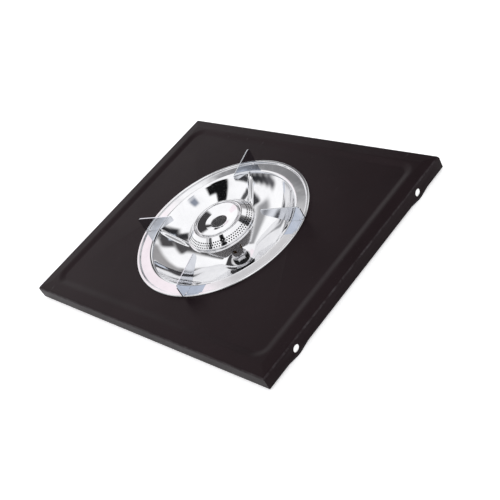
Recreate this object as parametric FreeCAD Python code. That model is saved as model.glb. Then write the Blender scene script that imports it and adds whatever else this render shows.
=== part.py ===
"""Side burner: a folded steel panel that carries a chromed drip bowl, pot arms and a pressed gas burner.

Lengths are millimetres. Everything is drawn in the panel's own frame: X along the panel, Y across it,
+Z up, with the outer edge of the panel's top at Z = 0 and its middle at X = Y = 0. place() then moves each
piece to the part's frame, with its origin midway between the bolt holes on the +X side flange's outer face.
"""
import FreeCAD
import Part
import math
import os

# Top panel
PANEL_LENGTH = 400.0
PANEL_WIDTH = 320.0
PANEL_SHEET = 1.0
PANEL_FLANGE = 16.0
PANEL_BEND = 2.5
BORDER_WIDTH = 14.0
BORDER_RISE = 0.8
CREST_WIDTH = 1.0
FIELD_STEP = 5.0
FIELD_DROP = 1.6
FIELD_CORNER = 20.0
SEAM_GAP = 0.6
SEAM_REACH = 3.0
BOLT_SPACING = 224.0
BOLT_HOLE = 8.5
BOLT_DROP = 10.0
EAR_DROP = 2.4
EAR_FLAT = 2.5
EAR_REACH = 16.0
EAR_ROUND = 8.0

# Drip bowl
BOWL_X = -5.0
BOWL_Y = 0.0
BOWL_SHEET = 0.8
LIP_RADIUS = 92.0
LIP_ROUND = 5.0
FLANGE_WIDTH = 18.5
BEAD_WIDTH = 3.6
BEAD_HEIGHT = 1.7
BEAD_SLOPE = 0.9
BEAD_ROUND = 1.2
BOWL_DEPTH = 55.0
KNEE_RADIUS = 78.4
KNEE_DEPTH = 19.4
KNEE_ROUND = 90.0
FLOOR_RADIUS = 18.0
FLOOR_ROUND = 10.0
PANEL_HOLE_CLEARANCE = 2.8
RIB_SPREAD = 1.5
RIB_ROOT = 0.7
RIB_BURIED = 0.2

# Pot arms
ARM_COUNT = 4
ARM_ANGLE = 18.5
ARM_SHEET = 1.5
ARM_HEIGHT = 20.0
ARM_LENGTH = 50.5
ARM_REACH = 2.0
ARM_NOSE = 4.0
ARM_ROUND = 2.5
ARM_NOSE_ROUND = 1.5
FOOT_SETBACK = 1.0
TAB_LENGTH = 7.0
TAB_FOLD = 6.0
SLOT_CLEARANCE = 0.3

# Jet holder, its nut and its washers
NECK_RADIUS = 6.0
NECK_STAND = 5.0
NECK_CLEARANCE = 0.25
NUT_WALL = 2.0
NUT_HEIGHT = 7.0
SEAL_WIDTH = 4.0
SEAL_SHEET = 1.5
WASHER_WIDTH = 8.0
WASHER_SHEET = 1.5
SPRING_WIDTH = 4.2
SPRING_SHEET = 2.0
SPRING_GAP = 2.5
HOLDER_WALL = 5.0
HOLDER_HEIGHT = 8.0
INLET_RADIUS = 6.58
INLET_LENGTH = 12.0
INLET_CHAMFER = 1.0
GAS_BORE = 3.0

# Injector
NECK_WALL = 2.0
JET_THREAD_LENGTH = 6.0
JET_SHOULDER = 0.5
JET_HEX = 3.0
JET_TIP = 2.5
JET_TIP_RADIUS = 2.0
JET_BORE = 1.5
JET_ORIFICE = 0.35
JET_SEAL_SHEET = 1.0
JET_SEAL_WIDTH = 1.0

# Mixing tube
TUBE_FIT = 0.05
TUBE_WALL = 1.45
TUBE_LENGTH = 26.5
FLARE_WIDTH = 3.5
FLARE_SHEET = 1.0
AIR_HOLE = 5.0
AIR_HOLE_COUNT = 4
AIR_HOLE_HEIGHT = 8.5
AIR_HOLE_ANGLE = -55.0

# Burner head
HEAD_SHEET = 0.8
HEAD_RADIUS = 43.2
CUP_DEPTH = 19.6
CUP_MARGIN = 3.0
CUP_ROUND = 4.0
SHOULDER_SETBACK = 6.2
SHOULDER_DROP = 3.5
CRIMP_LIP = 1.4
CRIMP_CLEARANCE = 0.3
RING_HEEL = 3.0
RING_RUN = 12.0
RING_RISE = 11.6
RING_CREST = 2.4
RING_ROUND = 1.2
SHELF_DEPTH = 2.4
SHELF_WIDTH = 7.8
PORT_SIZE = 1.15
PORT_COUNT = 80
PORT_ROWS = 3
PORT_FIRST = 1.7
PORT_ROW_STEP = 2.7

# Burner cap
CAP_CLEARANCE = 1.6
CAP_SHEET = 0.8
CAP_RISE = 2.8
CAP_ROUND = 1.2
CAP_ANNULUS = 9.2
CAP_SLOPE_DROP = 2.2
CAP_DISH_RUN = 3.5
CAP_DISH_DROP = 2.0

# Radii that follow from the sizes above
BOWL_RADIUS = LIP_RADIUS + FLANGE_WIDTH
BEAD_INNER = BOWL_RADIUS - BEAD_WIDTH
PANEL_HOLE = LIP_RADIUS + PANEL_HOLE_CLEARANCE
TAB_RADIUS = (PANEL_HOLE + BEAD_INNER) / 2
ARM_OUTER = BOWL_RADIUS + ARM_REACH
NECK_HOLE = NECK_RADIUS + NECK_CLEARANCE
TUBE_BORE = NECK_RADIUS + TUBE_FIT
TUBE_RADIUS = TUBE_BORE + TUBE_WALL
FLARE_RADIUS = TUBE_RADIUS + FLARE_WIDTH
JET_RADIUS = NECK_RADIUS - NECK_WALL
JET_FLATS = 2 * (JET_RADIUS + JET_SHOULDER)
RING_TOP = HEAD_RADIUS - RING_RUN
GROOVE_RADIUS = RING_TOP - RING_CREST
CAP_RADIUS = GROOVE_RADIUS - CAP_CLEARANCE

# Heights that follow from the sizes above
FIELD_LEVEL = BORDER_RISE - FIELD_DROP
PANEL_UNDER = FIELD_LEVEL - PANEL_SHEET
FLANGE_LEVEL = FIELD_LEVEL + BOWL_SHEET
BOWL_FLOOR = FLANGE_LEVEL - BOWL_DEPTH
BOWL_UNDER = BOWL_FLOOR - BOWL_SHEET
NUT_LEVEL = BOWL_FLOOR + SEAL_SHEET
TUBE_LEVEL = NUT_LEVEL + NUT_HEIGHT
NECK_TOP = TUBE_LEVEL + NECK_STAND
HOLDER_LEVEL = BOWL_UNDER - WASHER_SHEET - SPRING_SHEET
CUP_LEVEL = TUBE_LEVEL + TUBE_LENGTH - FLARE_SHEET
RIM_LEVEL = CUP_LEVEL + CUP_DEPTH
RING_FOOT = RIM_LEVEL + HEAD_SHEET
RING_TOP_LEVEL = RING_FOOT + RING_RISE
SHELF_LEVEL = RING_TOP_LEVEL - SHELF_DEPTH

UP = FreeCAD.Vector(0, 0, 1)
OVERCUT = 2.0
NEAR = 0.01
SMALL_ROUND = 1.3


def vector(x, y, z):
    return FreeCAD.Vector(x, y, z)


def line(start, end):
    return Part.LineSegment(start, end).toShape()


def rounding(before, corner, after, radius):
    """Start, middle and end of the arc that rounds the corner between two straight runs."""
    back = (before - corner).normalize()
    ahead = (after - corner).normalize()
    half = back.getAngle(ahead) / 2
    reach = radius / math.tan(half)
    middle = corner + (back + ahead).normalize() * (radius / math.sin(half) - radius)
    return corner + back * reach, middle, corner + ahead * reach


def rounded_edges(corners, closed):
    """Edges in the XZ plane through (radius, height[, rounding]) corners.

    A rounded corner becomes an arc, or two flats along it where the rounding is too small to show.
    """
    count = len(corners)
    spots = [vector(corner[0], 0, corner[1]) for corner in corners]
    entries = list(spots)
    exits = list(spots)
    rounds = [[] for corner in corners]
    for i, corner in enumerate(corners):
        inside = closed or 0 < i < count - 1
        if len(corner) < 3 or not inside:
            continue
        start, middle, end = rounding(spots[i - 1], spots[i], spots[(i + 1) % count], corner[2])
        entries[i] = start
        exits[i] = end
        if corner[2] < SMALL_ROUND:
            rounds[i] = [line(start, middle), line(middle, end)]
        else:
            rounds[i] = [Part.Arc(start, middle, end).toShape()]
    edges = []
    for i in range(count):
        edges += rounds[i]
        if closed or i < count - 1:
            edges.append(line(exits[i], entries[(i + 1) % count]))
    return edges


def profile(corners):
    return Part.Face(Part.Wire(rounded_edges(corners, True)))


def turned(corners):
    """A solid of revolution about Z from a closed outline of (radius, height[, rounding]) corners."""
    return profile(corners).revolve(vector(0, 0, 0), UP, 360)


def pressed(corners, sheet):
    """A revolved sheet: its upper skin runs through the corners, from the outside in."""
    skin = Part.Wire(rounded_edges(corners, False))
    sharp_joins = 2
    section = skin.makeOffset2D(sheet, sharp_joins, True, True, False)
    return section.revolve(vector(0, 0, 0), UP, 360)


def ring(outer, inner, low, high):
    body = Part.makeCylinder(outer, high - low, vector(0, 0, low))
    return body.cut(Part.makeCylinder(inner, high - low, vector(0, 0, low)))


def hexagon_bar(flats, low, high):
    corner = flats / 2 / math.cos(math.pi / 6)
    spots = []
    for i in range(7):
        turn = math.radians(60 * i)
        spots.append(vector(corner * math.cos(turn), corner * math.sin(turn), low))
    return Part.Face(Part.makePolygon(spots)).extrude(vector(0, 0, high - low))


def slab(length, width, low, high):
    return Part.makeBox(length, width, high - low, vector(-length / 2, -width / 2, low))


def rectangle(length, width, level):
    corners = ((-1, -1), (1, -1), (1, 1), (-1, 1), (-1, -1))
    return Part.makePolygon([vector(x * length / 2, y * width / 2, level) for x, y in corners])


def rounded_rectangle(length, width, corner, level):
    """A closed wire of four sides and four corner arcs, in the plane Z = level."""
    bulge = corner * math.sqrt(0.5)
    edges = []
    for i in range(4):
        end, side = (length / 2, width / 2) if i % 2 == 0 else (width / 2, length / 2)
        start = vector(corner - end, -side, level)
        turn = vector(end - corner, -side, level)
        middle = vector(end - corner + bulge, corner - side - bulge, level)
        finish = vector(end, corner - side, level)
        edges.append(turn_about_z(line(start, turn), 90.0 * i))
        edges.append(turn_about_z(Part.Arc(turn, middle, finish).toShape(), 90.0 * i))
    return Part.Wire(edges)


def turn_about_z(shape, angle):
    copy = shape.copy()
    copy.rotate(vector(0, 0, 0), UP, angle)
    return copy


def round_the_axis(shape, count, first_angle):
    return [turn_about_z(shape, first_angle + 360.0 * i / count) for i in range(count)]


def moved(shape, shift):
    copy = shape.copy()
    copy.translate(shift)
    return copy


def at_bowl(shape):
    """Moves a piece drawn on the bowl's axis to the bowl's place on the panel."""
    return moved(shape, vector(BOWL_X, BOWL_Y, 0))


def place(shape):
    """Moves a piece from the panel's frame to the part's frame."""
    return moved(shape, vector(-PANEL_LENGTH / 2, 0, BOLT_DROP))


def panel_block(inset):
    """The panel as a full block, drawn in by inset: its outside at 0, its hollow at one sheet."""
    low = -PANEL_FLANGE - (OVERCUT if inset else 0)
    length = PANEL_LENGTH - 2 * inset
    width = PANEL_WIDTH - 2 * inset
    crest = BORDER_RISE - inset
    border_foot = rectangle(length, width, -inset)
    border_top = rectangle(PANEL_LENGTH - 2 * BORDER_WIDTH, PANEL_WIDTH - 2 * BORDER_WIDTH, crest)
    border = Part.makeLoft([border_foot, border_top], True, True)
    block = slab(length, width, low, -inset).fuse(border).removeSplitter()
    bends = []
    for edge in block.Edges:
        middle = edge.CenterOfMass
        outside = max(abs(middle.x) - length / 2, abs(middle.y) - width / 2) > -NEAR
        if outside and abs(middle.z + inset) < NEAR:
            bends.append(edge)
    block = block.makeFillet(PANEL_BEND - inset, bends)
    mouth_margin = 2 * (BORDER_WIDTH + CREST_WIDTH - inset)
    floor_margin = mouth_margin + 2 * FIELD_STEP
    mouth = rounded_rectangle(PANEL_LENGTH - mouth_margin, PANEL_WIDTH - mouth_margin,
                              FIELD_CORNER + inset, crest)
    floor = rounded_rectangle(PANEL_LENGTH - floor_margin, PANEL_WIDTH - floor_margin,
                              FIELD_CORNER - FIELD_STEP + inset, crest - FIELD_DROP)
    return block.cut(Part.makeLoft([mouth, floor], True, True))


def arm_slots():
    """The slots that the arms' tabs pass through, in the bowl's flange and in the panel beneath it."""
    slot = slab(TAB_LENGTH + 2 * SLOT_CLEARANCE, ARM_SHEET + 2 * SLOT_CLEARANCE,
                PANEL_UNDER - OVERCUT, FLANGE_LEVEL + OVERCUT)
    slot.translate(vector(TAB_RADIUS, 0, 0))
    return round_the_axis(slot, ARM_COUNT, ARM_ANGLE)


def make_top_panel():
    """Folded tray: turned-down flanges, sunk field, open corner seams, ears round the side bolt holes."""
    panel = panel_block(0).cut(panel_block(PANEL_SHEET))
    ear_low = -PANEL_FLANGE - EAR_DROP
    ear = profile([(-EAR_REACH, -PANEL_FLANGE), (-EAR_FLAT, ear_low, EAR_ROUND),
                   (EAR_FLAT, ear_low, EAR_ROUND), (EAR_REACH, -PANEL_FLANGE),
                   (EAR_REACH, -BOLT_DROP), (-EAR_REACH, -BOLT_DROP)])
    ear = turn_about_z(ear.extrude(vector(0, PANEL_SHEET, 0)), 90)
    drill = Part.makeCylinder(BOLT_HOLE / 2, PANEL_SHEET, vector(0, 0, -BOLT_DROP), vector(-1, 0, 0))
    for row in (1, -1):
        for turn in (0, 180):
            spot = vector(PANEL_LENGTH / 2, row * BOLT_SPACING / 2, 0)
            panel = panel.fuse(turn_about_z(moved(ear, spot), turn))
            panel = panel.cut(turn_about_z(moved(drill, spot), turn))
    seam = slab(2 * SEAM_REACH, SEAM_GAP, -PANEL_FLANGE - OVERCUT, -PANEL_BEND)
    for x, y in ((1, 1), (-1, 1), (-1, -1), (1, -1)):
        slit = turn_about_z(seam, 45 * x * y)
        slit.translate(vector(x * PANEL_LENGTH / 2, y * PANEL_WIDTH / 2, 0))
        panel = panel.cut(slit)
    opening = Part.makeCylinder(PANEL_HOLE, PANEL_FLANGE, vector(0, 0, PANEL_UNDER - PANEL_FLANGE / 2))
    for cutter in [opening] + arm_slots():
        panel = panel.cut(at_bowl(cutter))
    return panel.removeSplitter()


def wall_corners():
    """Corners of the bowl's dished inner skin from its lip down to its floor, with their roundings."""
    return [(LIP_RADIUS, FLANGE_LEVEL, LIP_ROUND), (KNEE_RADIUS, FLANGE_LEVEL - KNEE_DEPTH, KNEE_ROUND),
            (FLOOR_RADIUS, BOWL_FLOOR, FLOOR_ROUND)]


def rib_body(drop, depth):
    """One rib down the bowl's wall: a straight ridge that bridges the hollow of the dish.

    Its crest lies lower by drop, and its base lies at depth below the wall's inner skin.
    """
    lip, knee, floor = [vector(corner[0], 0, corner[1]) for corner in wall_corners()]
    flange = vector(BEAD_INNER, 0, FLANGE_LEVEL)
    top = rounding(flange, lip, knee, LIP_ROUND)[2]
    middle, foot = rounding(lip, knee, floor, KNEE_ROUND)[1:]
    down = (foot - top).normalize()
    proud = vector(down.z, 0, -down.x)
    height = (top - middle).dot(proud)
    sections = []
    for spot, rise in ((top, -RIB_BURIED), (middle, height), (foot, -RIB_BURIED)):
        crest = spot + proud * (rise - drop)
        base = spot - proud * depth
        flank = vector(0, (rise - drop + depth) * RIB_SPREAD, 0)
        sections.append(Part.makePolygon([crest, base + flank, base - flank, crest]))
    return Part.makeLoft(sections, True, True)


def make_drip_bowl():
    """Pressed bowl: beaded flange, rounded lip, dished wall with a rib under each arm, holed floor."""
    bead_top = FLANGE_LEVEL + BEAD_HEIGHT
    skin = [(BOWL_RADIUS, FIELD_LEVEL), (BOWL_RADIUS, bead_top, BEAD_ROUND),
            (BEAD_INNER, bead_top, BEAD_ROUND), (BEAD_INNER - BEAD_SLOPE, FLANGE_LEVEL)]
    bowl = pressed(skin + wall_corners() + [(NECK_HOLE, BOWL_FLOOR)], BOWL_SHEET)
    flank_slant = math.hypot(1, RIB_SPREAD) / RIB_SPREAD
    rib = rib_body(0, RIB_ROOT)
    groove = rib_body(BOWL_SHEET * flank_slant, 2 * BOWL_SHEET)
    for swell in round_the_axis(rib, ARM_COUNT, ARM_ANGLE):
        bowl = bowl.fuse(swell)
    for recess in round_the_axis(groove, ARM_COUNT, ARM_ANGLE) + arm_slots():
        bowl = bowl.cut(recess)
    return bowl.removeSplitter()


def make_pot_arm():
    """Sheet blade that stands on the flange, with a tab through the slots, folded under the panel."""
    top = FLANGE_LEVEL + ARM_HEIGHT
    over_bead = FLANGE_LEVEL + BEAD_HEIGHT + SLOT_CLEARANCE
    foot_outer = BEAD_INNER - BEAD_SLOPE - FOOT_SETBACK
    nose = ARM_OUTER - ARM_LENGTH
    blade = profile([(LIP_RADIUS - FOOT_SETBACK, FLANGE_LEVEL), (foot_outer, FLANGE_LEVEL),
                     (foot_outer, over_bead), (ARM_OUTER, over_bead, ARM_NOSE_ROUND),
                     (ARM_OUTER, top, ARM_ROUND),
                     (nose, top, ARM_NOSE_ROUND), (nose, top - ARM_NOSE, ARM_NOSE_ROUND)])
    blade.translate(vector(0, -ARM_SHEET / 2, 0))
    arm = blade.extrude(vector(0, ARM_SHEET, 0))
    fold_low = PANEL_UNDER - ARM_SHEET
    tab = slab(TAB_LENGTH, ARM_SHEET, fold_low, FLANGE_LEVEL)
    fold = slab(TAB_LENGTH, TAB_FOLD + ARM_SHEET, fold_low, PANEL_UNDER)
    fold.translate(vector(0, TAB_FOLD / 2, 0))
    for piece in (tab, fold):
        piece.translate(vector(TAB_RADIUS, 0, 0))
        arm = arm.fuse(piece)
    return arm.removeSplitter()


def make_jet_holder():
    """Brass body: a neck up through the bowl's floor, a hexagon below it and a threaded gas inlet."""
    hex_low = HOLDER_LEVEL - HOLDER_HEIGHT
    inlet_low = hex_low - INLET_LENGTH
    inlet = turned([(0, inlet_low), (INLET_RADIUS - INLET_CHAMFER, inlet_low),
                    (INLET_RADIUS, inlet_low + INLET_CHAMFER), (INLET_RADIUS, hex_low), (0, hex_low)])
    body = Part.makeCylinder(NECK_RADIUS, NECK_TOP - HOLDER_LEVEL, vector(0, 0, HOLDER_LEVEL))
    body = body.fuse(hexagon_bar(2 * (NECK_RADIUS + HOLDER_WALL), hex_low, HOLDER_LEVEL)).fuse(inlet)
    socket = NECK_TOP - JET_THREAD_LENGTH
    body = body.cut(Part.makeCylinder(JET_RADIUS, JET_THREAD_LENGTH, vector(0, 0, socket)))
    body = body.cut(Part.makeCylinder(GAS_BORE, socket - inlet_low, vector(0, 0, inlet_low)))
    return body.removeSplitter()


def make_injector():
    """Brass jet: threaded shank, hexagon and tapered nose with a fine orifice."""
    hex_low = NECK_TOP + JET_SEAL_SHEET
    hex_top = hex_low + JET_HEX
    shank_low = hex_low - JET_THREAD_LENGTH
    jet = Part.makeCylinder(JET_RADIUS, JET_THREAD_LENGTH, vector(0, 0, shank_low))
    jet = jet.fuse(hexagon_bar(JET_FLATS, hex_low, hex_top))
    jet = jet.fuse(Part.makeCone(JET_RADIUS, JET_TIP_RADIUS, JET_TIP, vector(0, 0, hex_top)))
    jet = jet.cut(Part.makeCylinder(JET_BORE, hex_top - shank_low, vector(0, 0, shank_low)))
    jet = jet.cut(Part.makeCylinder(JET_ORIFICE, JET_TIP, vector(0, 0, hex_top)))
    return jet.removeSplitter()


def make_lock_nut():
    nut = hexagon_bar(2 * (NECK_RADIUS + NUT_WALL), NUT_LEVEL, TUBE_LEVEL)
    return nut.cut(Part.makeCylinder(NECK_RADIUS, NUT_HEIGHT, vector(0, 0, NUT_LEVEL)))


def make_spring_washer():
    """Split washer: a ring with one narrow gap."""
    top = HOLDER_LEVEL + SPRING_SHEET
    outer = NECK_HOLE + SPRING_WIDTH
    split = slab(outer, SPRING_GAP, HOLDER_LEVEL, top)
    split.translate(vector(outer, 0, 0))
    return ring(outer, NECK_HOLE, HOLDER_LEVEL, top).cut(split)


def make_mixing_tube():
    """Straight tube that slips over the jet holder's neck, with air holes round it and a flare on top."""
    top = TUBE_LEVEL + TUBE_LENGTH
    tube = turned([(TUBE_BORE, TUBE_LEVEL), (TUBE_RADIUS, TUBE_LEVEL), (TUBE_RADIUS, CUP_LEVEL),
                   (FLARE_RADIUS, CUP_LEVEL), (FLARE_RADIUS, top), (TUBE_BORE, top)])
    start = vector(0, 0, TUBE_LEVEL + AIR_HOLE_HEIGHT)
    drill = Part.makeCylinder(AIR_HOLE / 2, 2 * TUBE_RADIUS, start, vector(1, 0, 0))
    for hole in round_the_axis(drill, AIR_HOLE_COUNT, AIR_HOLE_ANGLE):
        tube = tube.cut(hole)
    return tube.removeSplitter()


def make_burner_base():
    """Pressed funnel under the head, whose rim is crimped up and over the foot of the ported ring."""
    hole = TUBE_RADIUS + TUBE_FIT
    cup_floor = FLARE_RADIUS + CUP_MARGIN
    shoulder = HEAD_RADIUS - SHOULDER_SETBACK
    shoulder_level = RIM_LEVEL - SHOULDER_DROP
    rim_start = shoulder + SHOULDER_DROP
    inner_wall = HEAD_RADIUS - HEAD_SHEET
    lip = HEAD_RADIUS - CRIMP_LIP
    lip_top = RING_FOOT + HEAD_SHEET
    return turned([(hole, CUP_LEVEL), (cup_floor, CUP_LEVEL, CUP_ROUND),
                   (shoulder, shoulder_level, CUP_ROUND), (rim_start, RIM_LEVEL),
                   (inner_wall, RIM_LEVEL), (inner_wall, RING_FOOT), (lip, RING_FOOT),
                   (lip, lip_top), (HEAD_RADIUS, lip_top), (HEAD_RADIUS, RIM_LEVEL - HEAD_SHEET),
                   (rim_start + HEAD_SHEET, RIM_LEVEL - HEAD_SHEET),
                   (shoulder + HEAD_SHEET, shoulder_level - HEAD_SHEET, CUP_ROUND),
                   (cup_floor, CUP_LEVEL - HEAD_SHEET, CUP_ROUND), (hole, CUP_LEVEL - HEAD_SHEET)])


def ring_heel():
    """Where the ring's straight heel turns into its ported cone."""
    return vector(HEAD_RADIUS - CRIMP_LIP - CRIMP_CLEARANCE, 0, RING_FOOT + RING_HEEL)


def make_ports():
    """Cutters for the flame ports: small blocks square to the ring's cone, in staggered rows."""
    heel = ring_heel()
    slope = vector(RING_TOP, 0, RING_TOP_LEVEL) - heel
    slope.normalize()
    outward = vector(slope.z, 0, -slope.x)
    ports = []
    for row in range(PORT_ROWS):
        middle = heel + slope * (PORT_FIRST + row * PORT_ROW_STEP)
        section = []
        for along, out in ((-0.5, -2), (0.5, -2), (0.5, 1), (-0.5, 1)):
            corner = middle + slope * (along * PORT_SIZE) + outward * (out * HEAD_SHEET)
            section.append((corner.x, corner.z))
        width = math.degrees(PORT_SIZE / middle.x)
        port = profile(section).revolve(vector(0, 0, 0), UP, width)
        ports += round_the_axis(port, PORT_COUNT, 180.0 * row / PORT_COUNT - width / 2)
    return ports


def make_burner_ring():
    """Ported ring of the head: crimped foot, heel, ported cone, crest and an inner shelf for the cap."""
    heel = ring_heel()
    skin = [(HEAD_RADIUS - HEAD_SHEET, RING_FOOT), (heel.x, RING_FOOT), (heel.x, heel.z),
            (RING_TOP, RING_TOP_LEVEL, RING_ROUND), (GROOVE_RADIUS, RING_TOP_LEVEL, RING_ROUND),
            (GROOVE_RADIUS, SHELF_LEVEL), (GROOVE_RADIUS - SHELF_WIDTH, SHELF_LEVEL)]
    return pressed(skin, HEAD_SHEET).cut(make_ports())


def make_burner_cap():
    """Lift-off pressed cap: a rim that stands on the ring's shelf, a falling annulus and a sunk centre."""
    top = SHELF_LEVEL + CAP_RISE
    slope_end = CAP_RADIUS - CAP_ANNULUS
    slope_level = top - CAP_SLOPE_DROP
    dish_level = slope_level - CAP_DISH_DROP
    return pressed([(CAP_RADIUS, SHELF_LEVEL), (CAP_RADIUS, top, CAP_ROUND), (slope_end, slope_level),
                    (slope_end - CAP_DISH_RUN, dish_level), (0, dish_level)], CAP_SHEET)


def make_pieces():
    """Every piece by the name of its node, in the panel's frame."""
    on_bowl = {
        "drip_bowl": make_drip_bowl(),
        "bowl_seal": ring(NECK_HOLE + SEAL_WIDTH, NECK_HOLE, BOWL_FLOOR, NUT_LEVEL),
        "lock_nut": make_lock_nut(),
        "bowl_washer": ring(NECK_HOLE + WASHER_WIDTH, NECK_HOLE, BOWL_UNDER - WASHER_SHEET, BOWL_UNDER),
        "spring_washer": make_spring_washer(),
        "jet_holder": make_jet_holder(),
        "jet_seal": ring(JET_RADIUS + JET_SEAL_WIDTH, JET_RADIUS, NECK_TOP, NECK_TOP + JET_SEAL_SHEET),
        "injector": make_injector(),
        "mixing_tube": make_mixing_tube(),
        "burner_base": make_burner_base(),
        "burner_ring": make_burner_ring(),
        "burner_cap": make_burner_cap(),
    }
    for number, arm in enumerate(round_the_axis(make_pot_arm(), ARM_COUNT, ARM_ANGLE), 1):
        on_bowl["pot_arm_%d" % number] = arm
    pieces = {"top_panel": make_top_panel()}
    for name, shape in on_bowl.items():
        pieces[name] = at_bowl(shape)
    return pieces


os.makedirs("parts", exist_ok=True)
for node, solid in make_pieces().items():
    place(solid).exportStep("parts/%s.step" % node)
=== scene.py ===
"""Looks of a side burner: a black folded panel with a chromed bowl, pot arms and a pressed gas burner.

Sizes are written in millimetres in the panel's frame, with the panel's outer top edge at Z = 0 and its middle at
X = Y = 0, and go to the part's frame in metres when a piece is made.
"""
import math

import bmesh
import bpy
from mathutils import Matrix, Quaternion, Vector
from mathutils.geometry import tessellate_polygon


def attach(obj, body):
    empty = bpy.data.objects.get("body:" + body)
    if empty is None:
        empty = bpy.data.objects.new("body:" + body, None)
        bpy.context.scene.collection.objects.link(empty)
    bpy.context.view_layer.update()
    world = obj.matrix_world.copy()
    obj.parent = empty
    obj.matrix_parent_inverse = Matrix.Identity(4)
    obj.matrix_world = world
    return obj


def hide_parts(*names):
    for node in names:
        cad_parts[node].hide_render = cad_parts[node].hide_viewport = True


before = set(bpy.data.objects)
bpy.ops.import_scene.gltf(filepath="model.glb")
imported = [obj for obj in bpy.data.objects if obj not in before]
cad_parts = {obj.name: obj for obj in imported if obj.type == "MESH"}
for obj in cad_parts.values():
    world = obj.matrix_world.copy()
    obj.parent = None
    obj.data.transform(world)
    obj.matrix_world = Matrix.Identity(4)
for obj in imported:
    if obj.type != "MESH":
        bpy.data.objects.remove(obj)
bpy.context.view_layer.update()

# Panel
PANEL_HALF_X = 200.0
PANEL_HALF_Y = 160.0
PANEL_SHEET = 1.0
PANEL_FLANGE = 16.0
PANEL_BEND = 2.5
PANEL_BEND_STEPS = 8
PANEL_CORNER = 1.6
PANEL_CORNER_STEPS = 8
BORDER_WIDTH = 14.0
BORDER_RISE = 0.8
BORDER_SOFT = 1.0
CREST_WIDTH = 1.0
CREST_SOFT = 0.5
FIELD_STEP = 11.0
FIELD_STEP_ROWS = 10
FIELD_DROP = 1.6
FIELD_CORNER = 20.0
FIELD_LEVEL = BORDER_RISE - FIELD_DROP
BOLT_HALF = 112.0
BOLT_RADIUS = 4.25
BOLT_DROP = 10.0
BOLT_STEPS = 32
EAR_DROP = 2.4
EAR_FLAT = 2.5
EAR_REACH = 16.0
EAR_ROUND = 8.0
EAR_STEPS = 4
SEAM_HALF = 0.12

# Bowl
BOWL_X = -5.0
BOWL_SHEET = 0.8
BOWL_RADIUS = 110.5
BOWL_DEPTH = 55.0
BOWL_ROUND_STEPS = 12
BOWL_LONGEST_RUN = 3.0
BEAD_INNER = 106.9
BEAD_SLOPE = 0.9
BEAD_HEIGHT = 1.7
BEAD_ROUND = 1.2
BEAD_FOOT = BEAD_INNER - BEAD_SLOPE
BEAD_FOOT_ROUND = 0.6
LIP_RADIUS = 92.0
LIP_ROUND = 5.0
KNEE_RADIUS = 78.4
KNEE_DEPTH = 19.4
KNEE_ROUND = 90.0
FLOOR_RADIUS = 18.0
FLOOR_ROUND = 25.0
NECK_HOLE = 6.25
PANEL_HOLE = 94.8
PANEL_HOLE_STEPS = 180
FLANGE_LEVEL = FIELD_LEVEL + BOWL_SHEET
BOWL_FLOOR = FLANGE_LEVEL - BOWL_DEPTH
RIB_HALF = 3.4
RIB_LIFT = 1.0
RIB_END = 6.0
RIB_BELOW_LIP = 2.0

# Columns of the bowl's mesh: close ones within some degrees of each rib, and wider ones between the ribs
RIB_REACH = 6.0
RIB_COLUMNS = 24
WALL_COLUMNS = 52

# Arms
ARM_COUNT = 4
ARM_ANGLE = 18.5
ARM_SHEET = 1.5
ARM_HEIGHT = 20.0
ARM_OUTER = 112.5
ARM_LENGTH = 50.5
ARM_NOSE = 7.0
ARM_NOSE_ROUND = 2.5
ARM_TOP_ROUND = 4.0
ARM_HEEL_ROUND = 1.5
ARM_ROUND_STEPS = 6
ARM_FOOT_INNER = LIP_RADIUS - 1.0
ARM_FOOT_OUTER = BEAD_FOOT - 1.0
ARM_BEVEL = 0.25
TAB_RADIUS = 100.85
TAB_LENGTH = 7.0
TAB_FOLD = 6.0
SLOT_CLEARANCE = 0.3

# Burner's base
TUBE_LEVEL = BOWL_FLOOR + 8.5
TUBE_RADIUS = 7.5
TUBE_GAP = 0.05
CUP_LEVEL = TUBE_LEVEL + 25.5
CUP_RADIUS = 14.0
CUP_ROUND = 4.0
HEAD_SHEET = 0.8
HEAD_RADIUS = 43.2
HEAD_COLUMNS = 128
HEAD_ROUND_STEPS = 8
RIM_LEVEL = CUP_LEVEL + 19.6
RIM_ROUND = 0.4
RIM_OUTER_ROUND = 0.8
SHOULDER_RADIUS = HEAD_RADIUS - 6.2
SHOULDER_LEVEL = RIM_LEVEL - 3.5
SHOULDER_ROUND = 4.0
RIM_START = SHOULDER_RADIUS + 3.5
CRIMP_RADIUS = HEAD_RADIUS - 1.4
CRIMP_ROUND = 0.6
CRIMP_INNER_ROUND = 0.35

# Burner's ring
RING_FOOT = RIM_LEVEL + HEAD_SHEET
HEEL_RADIUS = HEAD_RADIUS - 1.7
HEEL_LEVEL = RING_FOOT + 3.0
HEEL_ROUND = 0.6
HEEL_ROUND_STEPS = 6
RING_TOP = HEAD_RADIUS - 12.0
RING_TOP_LEVEL = RING_FOOT + 11.6
RING_TOP_ROUND = 1.2
GROOVE_RADIUS = RING_TOP - 2.4
SHELF_LEVEL = RING_TOP_LEVEL - 2.4
SHELF_WIDTH = 7.8
SHELF_ROUND = 0.4
PORT_RADIUS = 0.95
PORT_SIDES = 8
PORT_COUNT = 80
PORT_ROWS = 3
PORT_FIRST = 1.7
PORT_ROW_STEP = 2.7

# Burner's cap
CAP_RADIUS = GROOVE_RADIUS - 1.6
CAP_TOP = SHELF_LEVEL + 2.8
CAP_EDGE_ROUND = 1.2
CAP_SLOPE_WIDTH = 10.8
CAP_SLOPE_DROP = 2.5
CAP_SLOPE_ROUND = 0.8
DISH_WIDTH = 6.0
DISH_DROP = 2.2
DISH_ROUND = 3.0

# Angles in degrees past which an edge is shaded sharp
SHARP_EDGE = 35.0
PRESSED_EDGE = 40.0

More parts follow.
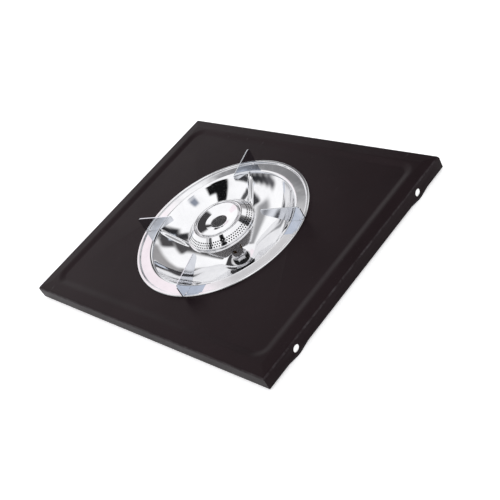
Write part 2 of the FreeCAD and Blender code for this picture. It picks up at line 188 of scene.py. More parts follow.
# Paint, and where a highlight is painted along its folds: bands in metres past the panel's sides and its top edge
PAINT_DARK = (0.0085, 0.0040, 0.0053)
PAINT_LIGHT = (0.0120, 0.0058, 0.0076)
PAINT_MARKED = (0.055, 0.050, 0.052)
# colour of the painted highlight along the folds
PAINT_BEND_HIGHLIGHT = (0.075, 0.068, 0.072)
PAINT_TINT = (1.0, 0.79, 0.83)
PAINT_SPECULAR = 0.105
BEND_HIGHLIGHT_SIDE = (-0.0020, -0.0006)
BEND_HIGHLIGHT_TOP = (-0.0028, -0.0012)

# Bumps a metre in turned or plated metal
METAL_GRAIN = 300.0

# Camera: places in the part's frame in metres, roll in degrees, lens and sensor in millimetres
CAMERA_SPOT = (0.6143, -0.4437, 0.6480)
CAMERA_TARGET = (-0.1375, -0.0225, 0.0100)
CAMERA_ROLL = -31.2
CAMERA_LENS = 70.0
CAMERA_SENSOR = 36.0
CAMERA_FAR = 50.0

# Floor: level and reach in the part's frame in metres, and how far it is lifted towards white
FLOOR_LEVEL = -0.0085
FLOOR_REACH = 4.0
FLOOR_INSET = 6.0
FLOOR_COLOUR = (0.93, 0.93, 0.935)
FLOOR_SEEN = 0.50
FLOOR_MIRRORED = 0.15
WHITE = (1.0, 1.0, 1.0)

# Studio: its plain wall, then screens and gaps, later ones over earlier ones. Each has its azimuth and half width,
# its elevation and half height, its soft edge, all in degrees, and its colour.
STUDIO_WALL = (1.20, 1.20, 1.21)
STUDIO = (
    (162.0, 8.0, 33.5, 5.5, 1.5, (1.16, 1.05, 1.10)),
    (149.5, 4.5, 38.5, 2.5, 1.5, (0.70, 0.69, 0.70)),
    (145.8, 2.0, 33.5, 2.0, 1.2, (0.40, 0.40, 0.41)),
    (148.3, 2.2, 32.0, 1.3, 1.0, (0.28, 0.28, 0.29)),
    (151.4, 1.8, 34.2, 1.2, 0.7, (0.06, 0.058, 0.06)),
    (133.5, 11.5, 42.0, 19.0, 3.0, (0.06, 0.057, 0.06)),
    (-25.0, 65.0, 16.0, 12.0, 5.0, (0.42, 0.42, 0.43)),
    (-62.5, 11.5, 50.0, 17.0, 2.5, (0.008, 0.008, 0.009)),
    (-50.0, 12.5, 42.0, 7.0, 2.5, (0.008, 0.008, 0.009)),
    (-97.0, 11.0, 31.0, 4.5, 2.5, (0.045, 0.045, 0.05)),
    (-113.0, 5.0, 50.0, 8.0, 2.5, (0.10, 0.10, 0.105)),
    (-114.0, 5.0, 36.5, 4.0, 1.5, (0.80, 0.86, 0.97)),
    (-115.0, 8.0, 27.0, 4.5, 3.0, (0.03, 0.032, 0.036)),
    (-124.0, 8.0, 24.0, 5.0, 4.0, (0.035, 0.037, 0.041)),
    (-133.0, 8.0, 20.5, 5.0, 4.0, (0.06, 0.06, 0.065)),
    (-142.0, 8.0, 17.0, 5.0, 4.0, (0.13, 0.13, 0.14)),
    (-134.0, 12.0, 48.0, 6.0, 3.0, (0.06, 0.06, 0.065)),
    (-158.0, 8.0, 42.0, 10.0, 5.0, (0.40, 0.40, 0.41)),
    (60.0, 13.0, 33.0, 13.0, 4.0, (0.03, 0.03, 0.033)),
    (65.0, 8.0, 50.0, 7.0, 3.0, (0.04, 0.04, 0.043)),
    (83.0, 14.0, 45.0, 9.0, 3.5, (0.10, 0.097, 0.100)),
    (71.5, 9.0, 28.0, 9.0, 3.5, (0.09, 0.087, 0.089)),
    (124.0, 8.5, 9.0, 11.0, 3.5, (0.20, 0.198, 0.205)),
    (98.0, 20.0, 8.0, 9.0, 4.0, (0.40, 0.39, 0.395)),
    (64.0, 5.0, 36.0, 4.5, 1.5, (0.80, 0.86, 0.97)),
    (-9.5, 6.0, 44.0, 6.0, 3.0, (0.30, 0.33, 0.40)),
)


def to_part(x, y, z):
    """A point of the panel's frame in millimetres, in the part's frame in metres."""
    return Vector(((x - PANEL_HALF_X) / 1000, y / 1000, (z + BOLT_DROP) / 1000))


def turned(radius, height, angle):
    """A point round the bowl's axis, in the part's frame in metres."""
    return to_part(BOWL_X + radius * math.cos(angle), radius * math.sin(angle), height)


def even_turns(steps):
    return [2 * math.pi * step / steps for step in range(steps)]


def rounded(corners, closed, turns):
    """Points through (a, b[, rounding]) corners, with an arc of short steps at each rounded one."""
    spots = [Vector(corner[:2]) for corner in corners]
    count = len(spots)
    points = []
    for i, corner in enumerate(corners):
        inside = closed or 0 < i < count - 1
        if len(corner) < 3 or not inside:
            points.append(spots[i])
            continue
        back = (spots[i - 1] - spots[i]).normalized()
        ahead = (spots[(i + 1) % count] - spots[i]).normalized()
        half = back.angle(ahead) / 2
        reach = corner[2] / math.tan(half)
        centre = spots[i] + (back + ahead).normalized() * (corner[2] / math.sin(half))
        start = spots[i] + back * reach - centre
        sweep = (spots[i] + ahead * reach - centre).angle_signed(start)
        for step in range(turns + 1):
            turn = sweep * step / turns
            points.append(centre + Vector((start.x * math.cos(turn) - start.y * math.sin(turn),
                                           start.x * math.sin(turn) + start.y * math.cos(turn))))
    return points


def divided(points, longest):
    """The same open line with its long runs cut into shorter ones."""
    out = [points[0]]
    for point in points[1:]:
        steps = max(1, math.ceil((point - out[-1]).length / longest))
        start = out[-1]
        for step in range(1, steps + 1):
            out.append(start.lerp(point, step / steps))
    return out


def offset(points, distance):
    """An open line moved to its left by a distance, with mitred corners that are kept short."""
    shortest_mitre = 0.3
    out = []
    for i, point in enumerate(points):
        before = (point - points[i - 1]).normalized() if i else None
        after = (points[i + 1] - point).normalized() if i < len(points) - 1 else None
        first = before or after
        second = after or before
        normal = Vector((-first.y - second.y, first.x + second.x)).normalized()
        square = Vector((-first.y, first.x))
        out.append(point + normal * (distance / max(shortest_mitre, normal.dot(square))))
    return out


def sheet_outline(skin, sheet):
    """A closed outline of a sheet whose upper skin runs from the outside in."""
    return skin + list(reversed(offset(skin, sheet)))


def lathe(outline, angles, shift=None):
    """A mesh turned about the bowl's axis through the angles, from a closed outline of (radius, height) points.

    shift(index, angle) may move a point of the outline at an angle, along the outline's own plane.
    """
    made = bmesh.new()
    columns = []
    for angle in angles:
        column = []
        for index, point in enumerate(outline):
            spot = point + shift(index, angle) if shift else point
            column.append(made.verts.new(turned(spot.x, spot.y, angle)))
        columns.append(column)
    for here, there in zip(columns, columns[1:] + columns[:1]):
        for i in range(len(outline)):
            j = (i + 1) % len(outline)
            made.faces.new((here[i], there[i], there[j], here[j]))
    bmesh.ops.remove_doubles(made, verts=made.verts, dist=1e-7)
    bmesh.ops.recalc_face_normals(made, faces=made.faces)
    return made


def bridge(made, first, second, material=0):
    """Faces between two closed loops of as many vertices."""
    faces = []
    for i in range(len(first)):
        j = (i + 1) % len(first)
        face = made.faces.new((first[i], first[j], second[j], second[i]))
        face.material_index = material
        faces.append(face)
    return faces


def fill(made, loops):
    """Fills the flat space between an outer loop of vertices and the loops inside it."""
    verts = [vert for loop in loops for vert in loop]
    for corners in tessellate_polygon([[vert.co for vert in loop] for loop in loops]):
        made.faces.new([verts[i] for i in corners])


def finish_piece(name, made, body, materials, nodes, sharp=SHARP_EDGE, sheet=0.0):
    """Turns a mesh in the making into a piece that rides on a body in place of its nodes.

    A mesh that is only an outer skin gets its sheet's thickness inwards.
    """
    mesh = bpy.data.meshes.new(name)
    made.to_mesh(mesh)
    made.free()
    for material in materials:
        mesh.materials.append(material)
    mesh.shade_smooth()
    mesh.set_sharp_from_angle(angle=math.radians(sharp))
    piece = bpy.data.objects.new(name, mesh)
    bpy.context.scene.collection.objects.link(piece)
    if sheet:
        thick = piece.modifiers.new("sheet", "SOLIDIFY")
        thick.thickness = sheet / 1000
        thick.offset = -1.0
    weighted = piece.modifiers.new("weighted", "WEIGHTED_NORMAL")
    weighted.keep_sharp = True
    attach(piece, body)
    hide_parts(*nodes)


def new_material(name):
    material = bpy.data.materials.new(name)
    material.use_nodes = True
    tree = material.node_tree
    return material, tree, tree.nodes["Principled BSDF"]


def add_node(tree, kind, **values):
    """A new node with some of its inputs or settings given."""
    made = tree.nodes.new(kind)
    for key, value in values.items():
        if key in made.inputs:
            made.inputs[key].default_value = value
        else:
            setattr(made, key, value)
    return made


def plug(tree, value, socket):
    """Gives a socket a link, a plain colour or a plain number."""
    if isinstance(value, bpy.types.NodeSocket):
        tree.links.new(value, socket)
    elif isinstance(value, tuple):
        socket.default_value = (*value, 1.0)
    else:
        socket.default_value = value


def math_node(tree, operation, *values):
    """A Math node whose inputs are links or plain numbers."""
    made = add_node(tree, "ShaderNodeMath", operation=operation)
    for socket, value in zip(made.inputs, values):
        plug(tree, value, socket)
    return made.outputs["Value"]


def mix(tree, factor, first, second, blend="MIX"):
    """Two colours mixed, each a link or a plain colour."""
    made = add_node(tree, "ShaderNodeMix", data_type="RGBA", blend_type=blend)
    plug(tree, factor, made.inputs["Factor"])
    plug(tree, first, made.inputs["A"])
    plug(tree, second, made.inputs["B"])
    return made.outputs["Result"]


def smooth_step(tree, value, low, high, start=0.0, end=1.0):
    """A number that goes smoothly from start to end as the value goes from low to high."""
    made = add_node(tree, "ShaderNodeMapRange", interpolation_type="SMOOTHSTEP")
    made.inputs["From Min"].default_value = low
    made.inputs["From Max"].default_value = high
    made.inputs["To Min"].default_value = start
    made.inputs["To Max"].default_value = end
    tree.links.new(value, made.inputs["Value"])
    return made.outputs["Result"]


def noise(tree, scale, detail=2.0, roughness=0.5, stretch=(1, 1, 1)):
    """A noise in the part's own metres, scale in bumps a metre."""
    place = add_node(tree, "ShaderNodeTexCoord")
    mapping = add_node(tree, "ShaderNodeMapping", Scale=stretch)
    made = add_node(tree, "ShaderNodeTexNoise", Scale=scale, Detail=detail, Roughness=roughness)
    tree.links.new(place.outputs["Object"], mapping.inputs["Vector"])
    tree.links.new(mapping.outputs["Vector"], made.inputs["Vector"])
    return made.outputs["Fac"]


def grey(value):
    return (value, value, value)


def ramp(tree, factor, *stops):
    """A colour between two stops, each a position and a colour."""
    made = add_node(tree, "ShaderNodeValToRGB")
    for element, (position, colour) in zip(made.color_ramp.elements, stops):
        element.position = position
        element.color = (*colour, 1.0)
    tree.links.new(factor, made.inputs["Fac"])
    return made.outputs["Color"]


def bump(tree, shader, height, strength, distance):
    made = add_node(tree, "ShaderNodeBump", Strength=strength, Distance=distance)
    tree.links.new(height, made.inputs["Height"])
    tree.links.new(made.outputs["Normal"], shader.inputs["Normal"])


def make_chrome(name, low, high, rough_low, rough_high):
    """Bright plated steel: faint smears in its gloss and colour, and the slight waviness of pressed sheet."""
    material, tree, shader = new_material(name)
    shader.inputs["Metallic"].default_value = 1.0
    smear = noise(tree, scale=38.0, detail=5.0, roughness=0.62)
    tree.links.new(ramp(tree, smear, (0.3, low), (0.7, high)), shader.inputs["Base Color"])
    streak = noise(tree, scale=120.0, detail=4.0, roughness=0.6, stretch=(1.0, 1.0, 0.25))
    gloss = ramp(tree, streak, (0.35, grey(rough_low)), (0.75, grey(rough_high)))
    tree.links.new(gloss, shader.inputs["Roughness"])
    bump(tree, shader, noise(tree, scale=34.0), strength=0.10, distance=0.001)
    return material


def make_metal(name, low, high, rough_low, rough_high):
    """Turned or plated metal with fine marks of the tool and uneven tarnish."""
    material, tree, shader = new_material(name)
    shader.inputs["Metallic"].default_value = 1.0
    tarnish = noise(tree, scale=METAL_GRAIN, detail=4.0)
    tree.links.new(ramp(tree, tarnish, (0.3, low), (0.7, high)), shader.inputs["Base Color"])
    marks = noise(tree, scale=4 * METAL_GRAIN, detail=3.0, roughness=0.6, stretch=(1.0, 1.0, 6.0))
    gloss = ramp(tree, marks, (0.3, grey(rough_low)), (0.7, grey(rough_high)))
    tree.links.new(gloss, shader.inputs["Roughness"])
    bump(tree, shader, marks, strength=0.15, distance=0.0002)
    return material


def make_seal():
    """Matt black fibre with a fine grain."""
    material, tree, shader = new_material("black_seal")
    grain = noise(tree, scale=700.0, detail=3.0)
    tree.links.new(ramp(tree, grain, (0.3, grey(0.012)), (0.7, grey(0.030))), shader.inputs["Base Color"])
    shader.inputs["Roughness"].default_value = 0.8
    bump(tree, shader, grain, strength=0.4, distance=0.0003)
    return material


def painted_fold_highlight(tree):
    """How strong the painted highlight is along the panel's folds, in uneven lengths."""
    place = add_node(tree, "ShaderNodeTexCoord")
    spot = add_node(tree, "ShaderNodeSeparateXYZ")
    tree.links.new(place.outputs["Object"], spot.inputs["Vector"])
    half_x = PANEL_HALF_X / 1000
    half_y = PANEL_HALF_Y / 1000
    middle_x = math_node(tree, "ADD", spot.outputs["X"], half_x)
    past_x = math_node(tree, "SUBTRACT", math_node(tree, "ABSOLUTE", middle_x), half_x)
    past_y = math_node(tree, "SUBTRACT", math_node(tree, "ABSOLUTE", spot.outputs["Y"]), half_y)
    side = smooth_step(tree, math_node(tree, "MAXIMUM", past_x, past_y), *BEND_HIGHLIGHT_SIDE)
    top = to_part(0, 0, 0).z
    height = smooth_step(tree, spot.outputs["Z"], top + BEND_HIGHLIGHT_TOP[0], top + BEND_HIGHLIGHT_TOP[1])
    patchy = noise(tree, scale=160.0, detail=4.0, roughness=0.65)
    uneven = smooth_step(tree, patchy, 0.15, 1.00)
    return math_node(tree, "MULTIPLY", math_node(tree, "MULTIPLY", side, height), uneven)


def make_paint():
    """Satin black stove enamel: fine orange peel, uneven sheen, a painted highlight along the folds, and a few pale
    specks and scratches.
    """
    material, tree, shader = new_material("black_paint")
    cloud = noise(tree, scale=9.0, detail=4.0, roughness=0.6)
    body = ramp(tree, cloud, (0.3, PAINT_DARK), (0.7, PAINT_LIGHT))
    dust = noise(tree, scale=900.0, detail=1.0)
    specks = ramp(tree, dust, (0.765, grey(0.0)), (0.80, grey(1.0)))
    rubs = noise(tree, scale=260.0, detail=3.0, roughness=0.6, stretch=(1.0, 0.16, 1.0))
    scratches = ramp(tree, rubs, (0.735, grey(0.0)), (0.78, grey(1.0)))
    marks = mix(tree, 1.0, specks, scratches, "LIGHTEN")
    colour = mix(tree, marks, body, PAINT_MARKED)
    # painted highlight: a lighter paint colour laid along the bends in uneven patches
    fold_highlighted = mix(tree, painted_fold_highlight(tree), colour, PAINT_BEND_HIGHLIGHT)
    tree.links.new(fold_highlighted, shader.inputs["Base Color"])
    sheen = noise(tree, scale=14.0, detail=5.0, roughness=0.65)
    tree.links.new(ramp(tree, sheen, (0.3, grey(0.31)), (0.7, grey(0.42))), shader.inputs["Roughness"])
    shader.inputs["Specular IOR Level"].default_value = PAINT_SPECULAR
    shader.inputs["Specular Tint"].default_value = (*PAINT_TINT, 1.0)
    bump(tree, shader, noise(tree, scale=1400.0), strength=0.12, distance=0.0003)
    return material


def rectangle_loop(inset, corner):
    """A rounded rectangle drawn in from the panel's edge, as (x, y) points."""
    x = PANEL_HALF_X - inset
    y = PANEL_HALF_Y - inset
    corners = [(x, -y, corner), (x, y, corner), (-x, y, corner), (-x, -y, corner)]
    return rounded(corners, True, PANEL_CORNER_STEPS)


def make_panel():
    """Folded tray: four flanges with open corner seams, soft bends, a raised border and a sunk field."""
    made = bmesh.new()
    levels = []
    slope = BORDER_RISE / BORDER_WIDTH
    for step in range(PANEL_BEND_STEPS + 1):
        turn = math.pi / 2 * step / PANEL_BEND_STEPS
        inset = PANEL_BEND * (1 - math.cos(turn))
        height = slope * inset - PANEL_BEND * (1 - math.sin(turn))
        levels.append((inset, PANEL_CORNER, height))
    mouth = BORDER_WIDTH + CREST_WIDTH
    levels += [(BORDER_WIDTH - BORDER_SOFT, PANEL_CORNER, BORDER_RISE - BORDER_SOFT * slope),
               (BORDER_WIDTH, PANEL_CORNER, BORDER_RISE),
               (mouth - CREST_SOFT, FIELD_CORNER, BORDER_RISE)]
    for step in range(FIELD_STEP_ROWS + 1):
        share = step / FIELD_STEP_ROWS
        reach = FIELD_STEP * share
        fall = share * share * (3 - 2 * share)
        levels.append((mouth + reach, FIELD_CORNER - reach, BORDER_RISE - FIELD_DROP * fall))
    loops = []
    for inset, corner, height in levels:
        loops.append([made.verts.new(to_part(x, y, height)) for x, y in rectangle_loop(inset, corner)])
    for outer, inner in zip(loops, loops[1:]):
        bridge(made, outer, inner)
    hole = [made.verts.new(turned(PANEL_HOLE, FIELD_LEVEL, -angle)) for angle in even_turns(PANEL_HOLE_STEPS)]
    fill(made, [loops[-1], hole])
    bend_foot = levels[0][2]
    top = loops[0]
    turns = len(top) // 4
    for side in range(4):
        first = top[(side * turns + turns - 1) % len(top)]
        last = top[(side + 1) * turns % len(top)]
        add_flange(made, first, last, bend_foot, side % 2 == 0)
    bmesh.ops.recalc_face_normals(made, faces=made.faces)
    return made


def add_flange(made, first, last, top, bolted):
    """One turned-down flange below the bend's first loop, with ears and holes where bolts go."""
    start = first.co.copy()
    along = last.co - start
    length = along.length * 1000
    along.normalize()
    low = -PANEL_FLANGE

    def spot(distance, height):
        place = start + along * (distance / 1000)
        place.z = (height + BOLT_DROP) / 1000
        return made.verts.new(place)

    past = PANEL_CORNER - SEAM_HALF
    outline = [first, spot(-past, top), spot(-past, low)]
    holes = []
    if bolted:
        ear = rounded([(-EAR_REACH, low), (-EAR_FLAT, low - EAR_DROP, EAR_ROUND),
                       (EAR_FLAT, low - EAR_DROP, EAR_ROUND), (EAR_REACH, low)], False, EAR_STEPS)
        for bolt in (length / 2 - BOLT_HALF, length / 2 + BOLT_HALF):
            outline += [spot(bolt + point.x, point.y) for point in ear]
            holes.append([spot(bolt + BOLT_RADIUS * math.cos(turn), -BOLT_DROP + BOLT_RADIUS * math.sin(turn))
                          for turn in even_turns(BOLT_STEPS)])
    outline += [spot(length + past, low), spot(length + past, top), last]
    fill(made, [outline] + holes)


def make_bowl():
    """Pressed bowl: beaded flange, rounded lip, dished wall and a straight rib under each arm."""
    bead_top = FLANGE_LEVEL + BEAD_HEIGHT
    rim = [(BOWL_RADIUS, FIELD_LEVEL), (BOWL_RADIUS, bead_top, BEAD_ROUND), (BEAD_INNER, bead_top, BEAD_ROUND),
           (BEAD_FOOT, FLANGE_LEVEL, BEAD_FOOT_ROUND)]
    wall = [(LIP_RADIUS, FLANGE_LEVEL, LIP_ROUND), (KNEE_RADIUS, FLANGE_LEVEL - KNEE_DEPTH, KNEE_ROUND),
            (FLOOR_RADIUS, BOWL_FLOOR, FLOOR_ROUND)]
    corners = rim + wall + [(NECK_HOLE, BOWL_FLOOR)]
    skin = divided(rounded(corners, False, BOWL_ROUND_STEPS), BOWL_LONGEST_RUN)
    outline = sheet_outline(skin, BOWL_SHEET)
    lip, knee, floor = [Vector(corner[:2]) for corner in wall]
    slope = (lip - knee).normalized()
    fall = (floor - knee).normalized()
    top = lip - slope * RIB_BELOW_LIP
    foot = knee + fall * KNEE_ROUND / math.tan(slope.angle(fall) / 2)
    length = (foot - top).length
    down = (foot - top) / length
    proud = Vector((down.y, -down.x))
    pitch = 2 * math.pi / ARM_COUNT
    reach = math.radians(RIB_REACH)
    angles = []
    for quarter in range(ARM_COUNT):
        middle = math.radians(ARM_ANGLE) + pitch * quarter
        angles += [middle + reach * (2 * step / RIB_COLUMNS - 1) for step in range(RIB_COLUMNS)]
        angles += [middle + reach + (pitch - 2 * reach) * step / WALL_COLUMNS for step in range(WALL_COLUMNS)]

    def rib(index, angle):
        """Lifts the wall to the straight line of the rib's crest, as far as the point lies near a rib."""
        point = outline[index]
        along = (point - top).dot(down)
        turn = (angle - math.radians(ARM_ANGLE) + pitch / 2) % pitch - pitch / 2
        across = abs(turn) * point.x
        if not 0 < along < length or across > RIB_HALF:
            return Vector((0, 0))
        end = min(1.0, along / RIB_END, (length - along) / RIB_END)
        depth = 0.0 if index < len(skin) else BOWL_SHEET
        height = (top - point).dot(proud) - depth + RIB_LIFT * end
        return proud * (max(0.0, height) * (0.5 + 0.5 * math.cos(math.pi * across / RIB_HALF)))

    return lathe(outline, angles, rib)


def make_arm(number):
    """Sheet blade with softened edges, and its tab through the flange, folded under the panel."""
    top = FLANGE_LEVEL + ARM_HEIGHT
    over_bead = FLANGE_LEVEL + BEAD_HEIGHT + SLOT_CLEARANCE
    nose = ARM_OUTER - ARM_LENGTH
    blade = rounded([(ARM_FOOT_INNER, FLANGE_LEVEL), (ARM_FOOT_OUTER, FLANGE_LEVEL), (ARM_FOOT_OUTER, over_bead),
                     (ARM_OUTER, over_bead, ARM_HEEL_ROUND), (ARM_OUTER, top, ARM_TOP_ROUND),
                     (nose, top, ARM_NOSE_ROUND), (nose, top - ARM_NOSE, ARM_NOSE_ROUND)], True, ARM_ROUND_STEPS)
    half = ARM_SHEET / 2
    under = FIELD_LEVEL - PANEL_SHEET
    tab_foot = under - ARM_SHEET
    left = TAB_RADIUS - TAB_LENGTH / 2
    right = TAB_RADIUS + TAB_LENGTH / 2
    made = bmesh.new()
    turn = math.radians(ARM_ANGLE + 360.0 / ARM_COUNT * (number - 1))

    def prism(points, low, high):
        """A plate of (radius, height) points, from low to high across the arm, with softened rims."""
        rows = []
        for side in (low, high):
            row = []
            for radius, height in points:
                x = BOWL_X + radius * math.cos(turn) - side * math.sin(turn)
                y = radius * math.sin(turn) + side * math.cos(turn)
                row.append(made.verts.new(to_part(x, y, height)))
            rows.append(row)
        ends = [made.faces.new(row) for row in rows]
        bmesh.ops.recalc_face_normals(made, faces=ends + bridge(made, *rows))
        rims = [edge for face in ends for edge in face.edges]
        bmesh.ops.bevel(made, geom=rims, offset=ARM_BEVEL / 1000, segments=2, profile=0.5, affect="EDGES")

    prism(blade, -half, half)
    prism([(left, tab_foot), (right, tab_foot), (right, FLANGE_LEVEL), (left, FLANGE_LEVEL)], -half, half)
    prism([(left, tab_foot), (right, tab_foot), (right, under), (left, under)], half, half + TAB_FOLD)
    return made


def make_ring():
    """Ported ring: heel, cone with staggered rows of round ports, crest and an inner shelf for the cap.

    Its inner skin and the walls of the ports take the second material, a near-black steel painted as shade inside the
    ring.
    """
    made = bmesh.new()
    heel = Vector((HEEL_RADIUS, HEEL_LEVEL))
    slope = (Vector((RING_TOP, RING_TOP_LEVEL)) - heel).normalized()
    inward = Vector((-slope.y, slope.x))
    row_half = PORT_ROW_STEP / 2
    band_low = heel + slope * (PORT_FIRST - row_half)
    band_high = heel + slope * (PORT_FIRST + (PORT_ROWS - 1) * PORT_ROW_STEP + row_half)
    foot = rounded([(HEAD_RADIUS - HEAD_SHEET, RING_FOOT), (HEEL_RADIUS, RING_FOOT),
                    (HEEL_RADIUS, HEEL_LEVEL, HEEL_ROUND), tuple(band_low)], False, HEEL_ROUND_STEPS)
    crest = rounded([(HEEL_RADIUS, HEEL_LEVEL), (RING_TOP, RING_TOP_LEVEL, RING_TOP_ROUND),
                     (GROOVE_RADIUS, RING_TOP_LEVEL, RING_TOP_ROUND), (GROOVE_RADIUS, SHELF_LEVEL, SHELF_ROUND),
                     (GROOVE_RADIUS - SHELF_WIDTH, SHELF_LEVEL)], False, HEAD_ROUND_STEPS)
    crest[0] = band_high
    columns = 2 * PORT_COUNT
    column_turn = math.pi / PORT_COUNT
    outer_holes = {}

    def at(along, depth, angle):
        point = heel + slope * along + inward * depth
        return made.verts.new(turned(point.x, point.y, angle))

    for depth in (0.0, HEAD_SHEET):
        corners = {}

        def corner(along, column):
            """A corner that neighbouring cells share."""
            key = (round(along, 4), column % columns)
            if key not in corners:
                corners[key] = at(along, depth, column_turn * column)
            return corners[key]

        for row in range(PORT_ROWS):
            middle = PORT_FIRST + row * PORT_ROW_STEP
            low = middle - row_half
            high = middle + row_half
            radius = heel.x + slope.x * middle
            for port in range(PORT_COUNT):
                centre = 2 * port + row % 2
                cell = [corner(middle, centre + 1), corner(high, centre + 1), corner(high, centre),
                        corner(high, centre - 1), corner(middle, centre - 1), corner(low, centre - 1),
                        corner(low, centre), corner(low, centre + 1)]
                hole = [at(middle + PORT_RADIUS * math.sin(turn), depth,
                           column_turn * centre + PORT_RADIUS * math.cos(turn) / radius)
                        for turn in even_turns(PORT_SIDES)]
                bridge(made, cell, hole, 1 if depth else 0)
                if depth:
                    bridge(made, hole, outer_holes[(row, port)], 1)
                else:
                    outer_holes[(row, port)] = hole
    for line in (foot, crest):
        for skin in (line, offset(line, HEAD_SHEET)):
            strips = []
            for column in range(columns):
                strips.append([made.verts.new(turned(point.x, point.y, column_turn * column)) for point in skin])
            for here, there in zip(strips, strips[1:] + strips[:1]):
                for i in range(len(skin) - 1):
                    made.faces.new((here[i], there[i], there[i + 1], here[i + 1]))
    bmesh.ops.remove_doubles(made, verts=made.verts, dist=2e-6)
    bmesh.ops.recalc_face_normals(made, faces=made.faces)
    return made


def make_base():
    """Funnel under the head with its rim rolled up and over the ring's foot.

    All below its rim takes the second material, a dull steel whose dark colour is painted shade under the head.
    """
    neck = TUBE_RADIUS + TUBE_GAP
    inner = HEAD_RADIUS - HEAD_SHEET
    crimp_top = RING_FOOT + HEAD_SHEET
    rim_under = RIM_LEVEL - HEAD_SHEET
    outline = rounded([(neck, CUP_LEVEL), (CUP_RADIUS, CUP_LEVEL, CUP_ROUND),
                       (SHOULDER_RADIUS, SHOULDER_LEVEL, SHOULDER_ROUND), (RIM_START, RIM_LEVEL, RIM_ROUND),
                       (inner, RIM_LEVEL), (inner, RING_FOOT), (CRIMP_RADIUS, RING_FOOT),
                       (CRIMP_RADIUS, crimp_top, CRIMP_INNER_ROUND), (HEAD_RADIUS, crimp_top, CRIMP_ROUND),
                       (HEAD_RADIUS, rim_under, CRIMP_ROUND), (RIM_START + HEAD_SHEET, rim_under, RIM_OUTER_ROUND),
                       (SHOULDER_RADIUS + HEAD_SHEET, SHOULDER_LEVEL - HEAD_SHEET, SHOULDER_ROUND),
                       (CUP_RADIUS, CUP_LEVEL - HEAD_SHEET, CUP_ROUND), (neck, CUP_LEVEL - HEAD_SHEET)],
                      True, HEAD_ROUND_STEPS)
    made = lathe(outline, even_turns(HEAD_COLUMNS))
    rim = to_part(0, 0, RIM_LEVEL - 2 * HEAD_SHEET).z
    for face in made.faces:
        face.material_index = 1 if face.calc_center_median().z < rim else 0
    return made


def make_cap():
    """Pressed cap: rounded edge, a slope inwards and a sunk middle."""
    slope_end = CAP_RADIUS - CAP_SLOPE_WIDTH
    slope_level = CAP_TOP - CAP_SLOPE_DROP
    dish_level = slope_level - DISH_DROP
    skin = rounded([(CAP_RADIUS, SHELF_LEVEL), (CAP_RADIUS, CAP_TOP, CAP_EDGE_ROUND),
                    (slope_end, slope_level, CAP_SLOPE_ROUND), (slope_end - DISH_WIDTH, dish_level, DISH_ROUND),
                    (0, dish_level)], False, HEAD_ROUND_STEPS)
    return lathe(sheet_outline(skin, HEAD_SHEET), even_turns(HEAD_COLUMNS))


def make_floor():
    """Pale floor at the foot of the flanges, open under the panel where the bowl hangs through."""
    material, tree, shader = new_material("floor")
    shader.inputs["Base Color"].default_value = (*FLOOR_COLOUR, 1.0)
    shader.inputs["Roughness"].default_value = 0.7
    shader.inputs["Specular IOR Level"].default_value = 0.1
    path = add_node(tree, "ShaderNodeLightPath")
    mirrored = math_node(tree, "MULTIPLY", path.outputs["Is Glossy Ray"], FLOOR_MIRRORED)
    seen = math_node(tree, "MULTIPLY", path.outputs["Is Camera Ray"], FLOOR_SEEN)
    tree.links.new(math_node(tree, "MAXIMUM", seen, mirrored), shader.inputs["Emission Strength"])
    shader.inputs["Emission Color"].default_value = (*WHITE, 1.0)
    made = bmesh.new()

    def loop(half_x, half_y):
        corners = ((-half_x, -half_y), (half_x, -half_y), (half_x, half_y), (-half_x, half_y))
        return [made.verts.new((x - PANEL_HALF_X / 1000, y, FLOOR_LEVEL)) for x, y in corners]

    outer = loop(FLOOR_REACH, FLOOR_REACH)
    bridge(made, outer, loop((PANEL_HALF_X - FLOOR_INSET) / 1000, (PANEL_HALF_Y - FLOOR_INSET) / 1000))
    mesh = bpy.data.meshes.new("floor")
    made.to_mesh(mesh)
    made.free()
    mesh.materials.append(material)
    floor = bpy.data.objects.new("floor", mesh)
    bpy.context.scene.collection.objects.link(floor)


def band(tree, away, half, soft):
    """1 within half of the middle, fading to 0 over a soft edge; both in degrees, and away in radians."""
    distance = math_node(tree, "ABSOLUTE", away)
    return smooth_step(tree, distance, math.radians(half - soft), math.radians(half + soft), 1.0, 0.0)


def make_world():
    """Studio round the object: white where the camera looks; light screens and dark gaps in the metal."""
    world = bpy.data.worlds.new("studio")
    world.use_nodes = True
    bpy.context.scene.world = world
    tree = world.node_tree
    place = add_node(tree, "ShaderNodeTexCoord")
    way = add_node(tree, "ShaderNodeSeparateXYZ")
    tree.links.new(place.outputs["Generated"], way.inputs["Vector"])
    azimuth = math_node(tree, "ARCTAN2", way.outputs["Y"], way.outputs["X"])
    elevation = math_node(tree, "ARCSINE", way.outputs["Z"])
    sky = STUDIO_WALL
    for middle, half_width, height, half_height, soft, colour in STUDIO:
        turn = math_node(tree, "SUBTRACT", azimuth, math.radians(middle))
        across = band(tree, math_node(tree, "WRAP", turn, math.pi, -math.pi), half_width, soft)
        rise = math_node(tree, "SUBTRACT", elevation, math.radians(height))
        along = band(tree, rise, half_height, soft)
        sky = mix(tree, math_node(tree, "MULTIPLY", across, along), sky, colour)
    path = add_node(tree, "ShaderNodeLightPath")
    seen = mix(tree, path.outputs["Is Camera Ray"], sky, WHITE)
    tree.links.new(seen, tree.nodes["Background"].inputs["Color"])


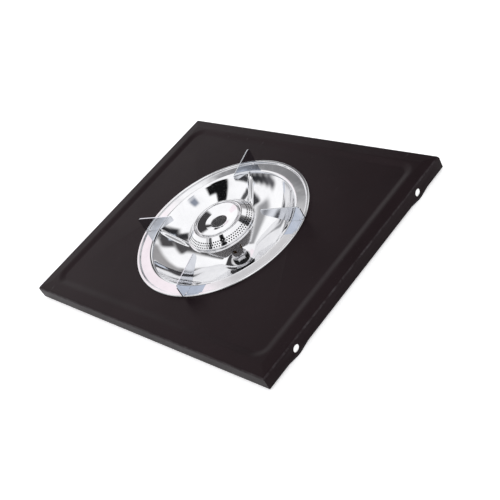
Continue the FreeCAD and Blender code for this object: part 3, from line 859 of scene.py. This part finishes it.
def make_camera():
    camera = bpy.data.cameras.new("camera")
    camera.lens = CAMERA_LENS
    camera.sensor_width = CAMERA_SENSOR
    camera.clip_end = CAMERA_FAR
    holder = bpy.data.objects.new("camera", camera)
    holder.location = CAMERA_SPOT
    aim = (Vector(CAMERA_TARGET) - Vector(CAMERA_SPOT)).to_track_quat("-Z", "Y")
    holder.rotation_mode = "QUATERNION"
    holder.rotation_quaternion = aim @ Quaternion((0, 0, 1), math.radians(CAMERA_ROLL))
    bpy.context.scene.collection.objects.link(holder)
    bpy.context.scene.camera = holder


# Colours and roughness at the dark and the light end of each metal
chrome = make_chrome("chrome", (0.74, 0.74, 0.755), (0.84, 0.84, 0.85), 0.03, 0.085)
arm_chrome = make_chrome("arm_chrome", (0.66, 0.68, 0.72), (0.78, 0.80, 0.84), 0.04, 0.09)
paint = make_paint()
plated = make_metal("plated_steel", (0.55, 0.55, 0.57), (0.70, 0.70, 0.71), 0.16, 0.32)
brass = make_metal("brass", (0.58, 0.40, 0.16), (0.76, 0.57, 0.28), 0.20, 0.38)
copper = make_metal("copper", (0.62, 0.27, 0.15), (0.78, 0.40, 0.26), 0.25, 0.45)
seal = make_seal()
# dull steel for the base below its rim, darkened in colour as painted shade under the burner's head
underside_shaded = make_metal("shaded_dull_steel", (0.12, 0.115, 0.115), (0.20, 0.19, 0.19), 0.22, 0.40)
# near-black brass for the injector: painted shade where it sits inside the mixing tube
shaded_brass = make_metal("shaded_brass", (0.07, 0.05, 0.025), (0.14, 0.10, 0.05), 0.40, 0.60)
# near-black steel inside the ring and its ports: painted shade in the hollow
ring_inner_shade = make_metal("steel_painted_shade", (0.030, 0.028, 0.027), (0.085, 0.075, 0.068), 0.45, 0.70)

finish_piece("panel_skin", make_panel(), "panel", [paint], ["top_panel"], PRESSED_EDGE, PANEL_SHEET)
finish_piece("bowl_skin", make_bowl(), "panel", [chrome], ["drip_bowl"], PRESSED_EDGE)
for number in range(1, ARM_COUNT + 1):
    finish_piece("blade_%d" % number, make_arm(number), "panel", [arm_chrome], ["pot_arm_%d" % number])
finish_piece("ported_ring", make_ring(), "burner", [chrome, ring_inner_shade], ["burner_ring"])
finish_piece("crimped_base", make_base(), "burner", [chrome, underside_shaded], ["burner_base"])
finish_piece("dished_cap", make_cap(), "cap", [chrome], ["burner_cap"])

kept_nodes = {"bowl_seal": seal, "lock_nut": plated, "bowl_washer": plated, "spring_washer": plated,
              "jet_holder": brass, "jet_seal": copper, "injector": shaded_brass, "mixing_tube": chrome}
for node, material in kept_nodes.items():
    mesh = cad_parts[node].data
    mesh.materials.clear()
    mesh.materials.append(material)

make_floor()
make_world()
make_camera()
bpy.context.scene.view_settings.view_transform = "Standard"
